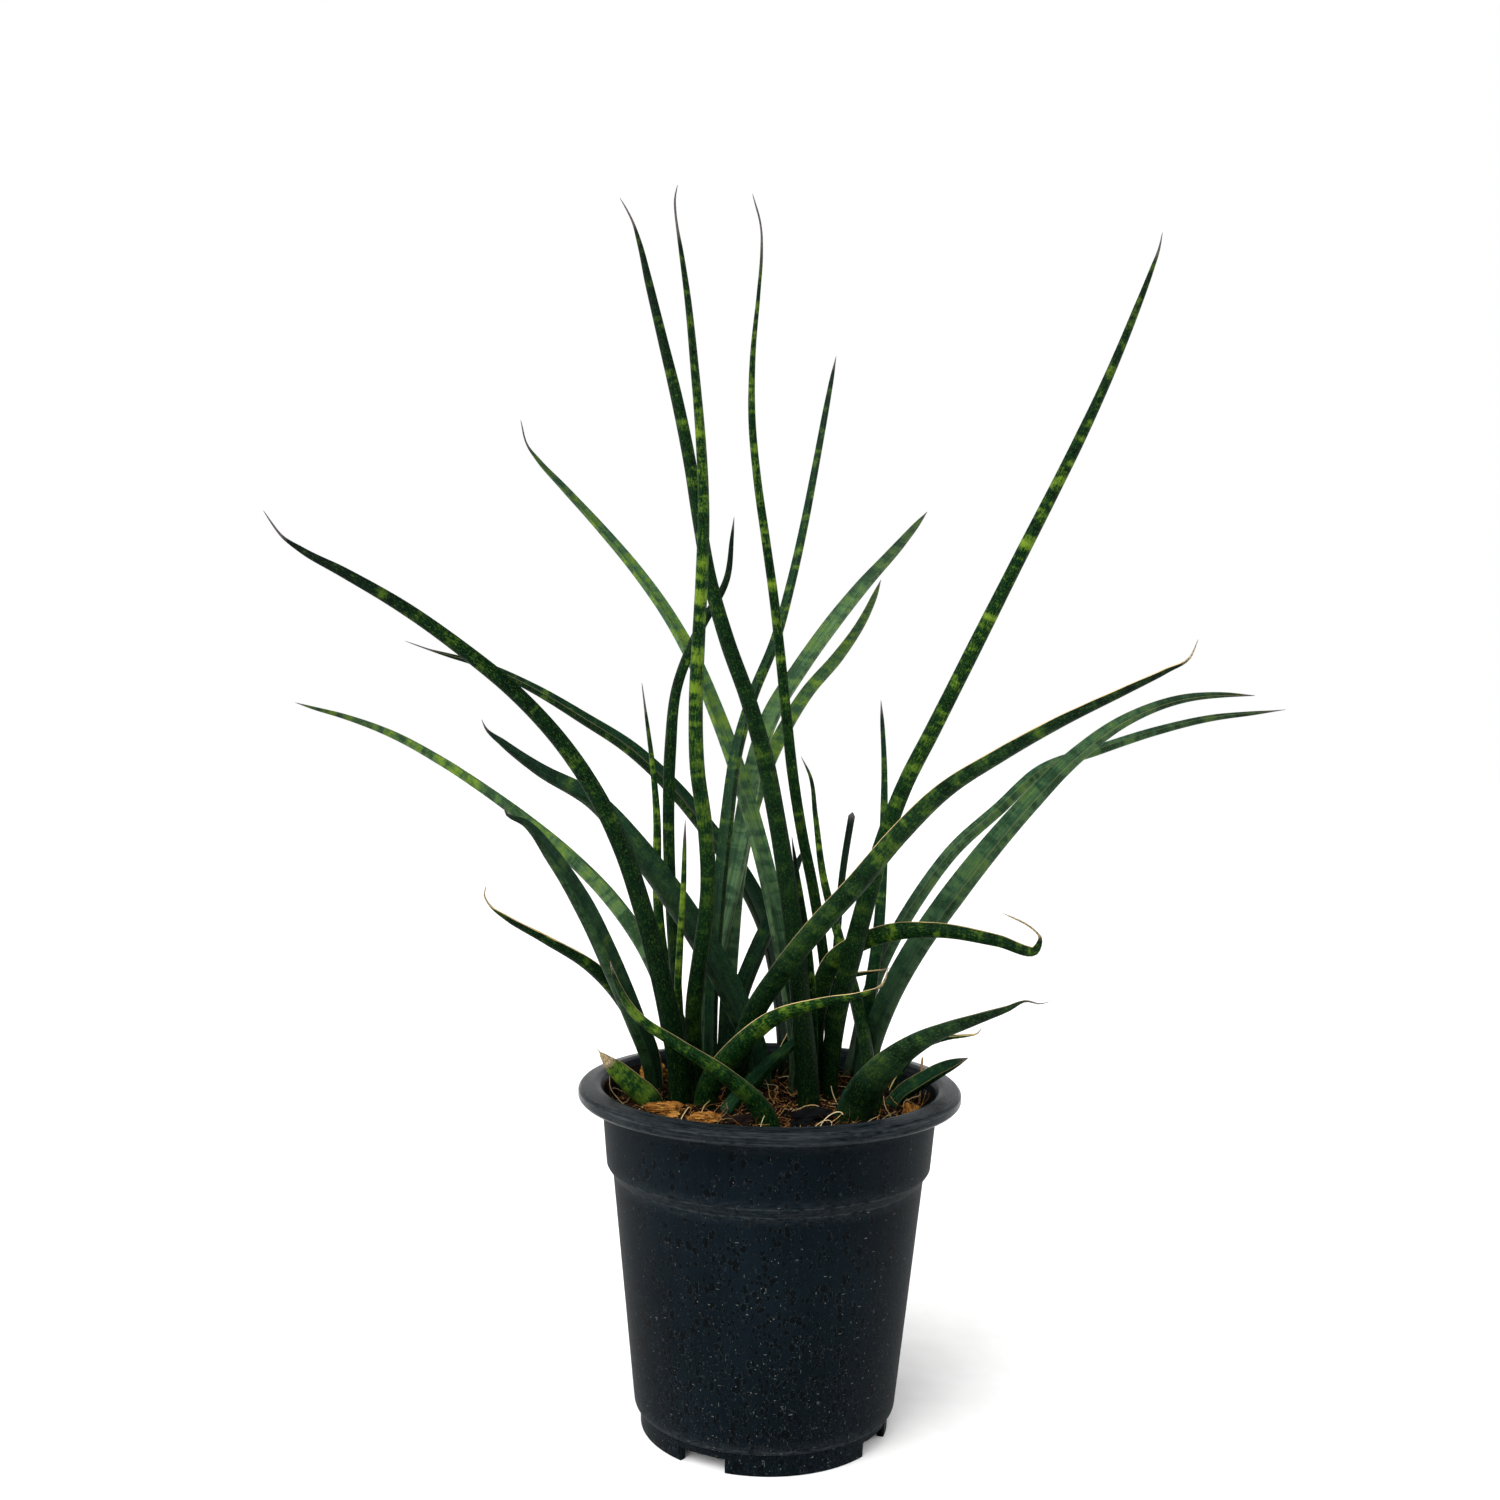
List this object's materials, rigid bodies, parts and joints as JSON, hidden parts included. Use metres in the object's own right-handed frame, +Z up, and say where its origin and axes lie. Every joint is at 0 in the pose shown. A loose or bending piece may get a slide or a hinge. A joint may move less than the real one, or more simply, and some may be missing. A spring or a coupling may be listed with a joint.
{
  "type": "potted snake plant",
  "caption": "Slender-leaved snake plant: arching, channelled, banded leaves with dried thread tips, growing in coir soil in a black plastic nursery pot.",
  "frame": {"origin": "on the floor, on the pot's axis, which is the middle of the plant's box seen from above", "axes": "+Z up along the pot's axis, -Y towards the plant's front, +X to the right seen from the front"},
  "size_m": [0.463, 0.28, 0.535],
  "materials": {
    "pot_plastic": "matte black moulded plastic, scuffed and dusty",
    "soil_mix": "rough coir and bark potting mix",
    "leaf": "satin dark green with yellow-green cross bands",
    "husk": "rough fibrous coir husk",
    "bark": "rough dark bark",
    "charcoal": "rough black charcoal",
    "twig_wood": "dry brown twig"
  },
  "bodies": {
    "root": {"pot": "pot_plastic", "soil": "soil_mix", "leaf_01": "leaf", "leaf_02": "leaf", "leaf_03": "leaf", "leaf_04": "leaf", "leaf_05": "leaf", "leaf_06": "leaf", "leaf_07": "leaf", "leaf_08": "leaf", "leaf_09": "leaf", "leaf_10": "leaf", "leaf_11": "leaf", "leaf_12": "leaf", "leaf_13": "leaf", "leaf_14": "leaf", "leaf_15": "leaf", "leaf_16": "leaf", "leaf_17": "leaf", "leaf_18": "leaf", "leaf_19": "leaf", "leaf_20": "leaf", "leaf_21": "leaf", "leaf_22": "leaf", "leaf_23": "leaf", "leaf_24": "leaf", "leaf_25": "leaf", "leaf_26": "leaf", "leaf_27": "leaf", "leaf_28": "leaf", "leaf_29": "leaf", "leaf_30": "leaf", "leaf_31": "leaf", "leaf_32": "leaf", "leaf_33": "leaf", "leaf_34": "leaf", "leaf_35": "leaf", "husk_back_left": "husk", "husk_front_left": "husk", "husk_front": "husk", "husk_back_right": "husk", "husk_right": "husk", "bark_front": "bark", "bark_back": "bark", "charcoal_front": "charcoal", "charcoal_front_right": "charcoal", "twig": "twig_wood"}
  },
  "joints": []
}
